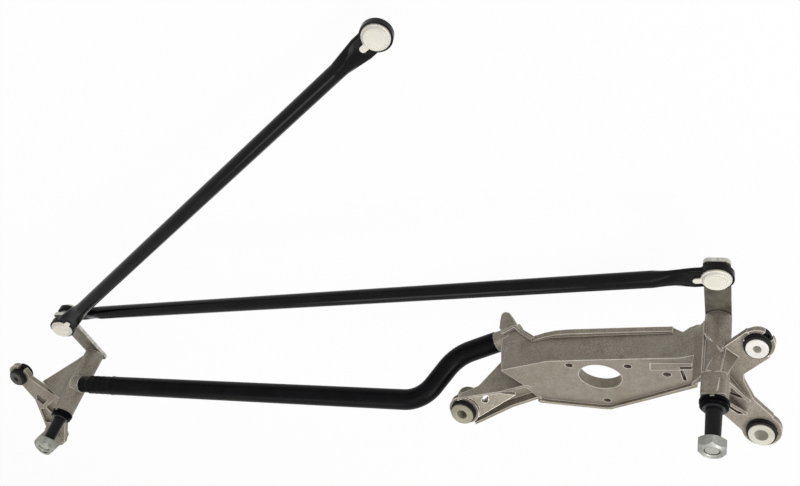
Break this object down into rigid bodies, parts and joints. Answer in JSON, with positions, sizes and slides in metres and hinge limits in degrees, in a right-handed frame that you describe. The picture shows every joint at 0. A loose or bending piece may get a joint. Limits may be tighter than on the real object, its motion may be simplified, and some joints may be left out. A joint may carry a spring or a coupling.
{
  "type": "wiper linkage",
  "caption": "Windscreen wiper linkage: cast motor bracket and spindle housings on a bent cross tube, crank arms, link rods with ball sockets.",
  "frame": {"origin": "centre of the round motor hole, on the front face of the motor plate", "axes": "+X towards the right-hand spindle, +Y across the plate towards the link rods, +Z towards the threaded spindle tips"},
  "size_m": [0.8231, 0.3873, 0.2037],
  "materials": {
    "cast_aluminium": "matte",
    "crank_steel": "satin",
    "black_tube": "satin",
    "black_rod": "gloss",
    "ivory_plastic": "satin",
    "black_plastic": "gloss",
    "black_spindle": "satin",
    "nut_steel": "satin",
    "bright_steel": "bright",
    "rubber": "matte",
    "seal_rubber": "satin",
    "bronze": "satin",
    "white_washer": "satin",
    "grey_washer": "satin"
  },
  "bodies": {
    "frame": {"bush_left_front": "bronze", "bush_left_rear": "bronze", "bush_right_front": "bronze", "bush_right_rear": "bronze", "collar_left": "black_plastic", "collar_right": "black_plastic", "cross_tube": "black_tube", "grommet_arm": "rubber", "grommet_left_lower": "rubber", "grommet_left_upper": "rubber", "grommet_right_lower": "rubber", "grommet_right_upper": "rubber", "left_housing": "cast_aluminium", "motor_bracket": "cast_aluminium", "o_ring_left": "seal_rubber", "o_ring_right": "seal_rubber", "sleeve_arm": "grey_washer", "sleeve_left_lower": "grey_washer", "sleeve_left_upper": "grey_washer", "sleeve_right_lower": "white_washer", "sleeve_right_upper": "white_washer", "thrust_washer_left": "bright_steel", "thrust_washer_right": "bright_steel"},
    "left_spindle": {"spindle_left": "black_spindle", "crank_left": "crank_steel", "ball_pin_left": "bright_steel", "nut_left": "nut_steel", "circlip_left": "bright_steel"},
    "right_spindle": {"spindle_right": "black_spindle", "crank_right": "crank_steel", "ball_stud_right": "bright_steel", "nut_right": "nut_steel", "circlip_right": "bright_steel"},
    "long_link": {"long_link_rod": "black_rod", "socket_long_link_left": "ivory_plastic", "socket_long_link_right": "ivory_plastic"},
    "motor_link": {"motor_link_rod": "black_rod", "socket_motor_link_left": "ivory_plastic", "socket_motor_link_free": "ivory_plastic"}
  },
  "joints": [
    {"name": "left_spindle_turn", "type": "hinge", "parent": "frame", "child": "left_spindle", "pos_m": [-0.5871, 0.0331, 0], "axis": [0, 0, 1], "range_deg": [-37, 53]},
    {"name": "right_spindle_turn", "type": "hinge", "parent": "frame", "child": "right_spindle", "pos_m": [0.1024, 0.0331, 0], "axis": [0, 0, 1], "range_deg": [-37, 53]},
    {"name": "long_link_pivot", "type": "hinge", "parent": "left_spindle", "child": "long_link", "pos_m": [-0.57806, 0.09545, -0.0255], "axis": [0, 0, 1], "range_deg": [-53, 37]},
    {"name": "motor_link_pivot", "type": "hinge", "parent": "long_link", "child": "motor_link", "pos_m": [-0.57806, 0.09545, -0.0095], "axis": [0, 0, 1], "range_deg": [-8, 60]}
  ],
  "couplings": [
    {"joint": "right_spindle_turn", "follows": "left_spindle_turn", "ratio": 1},
    {"joint": "long_link_pivot", "follows": "left_spindle_turn", "ratio": -1}
  ]
}
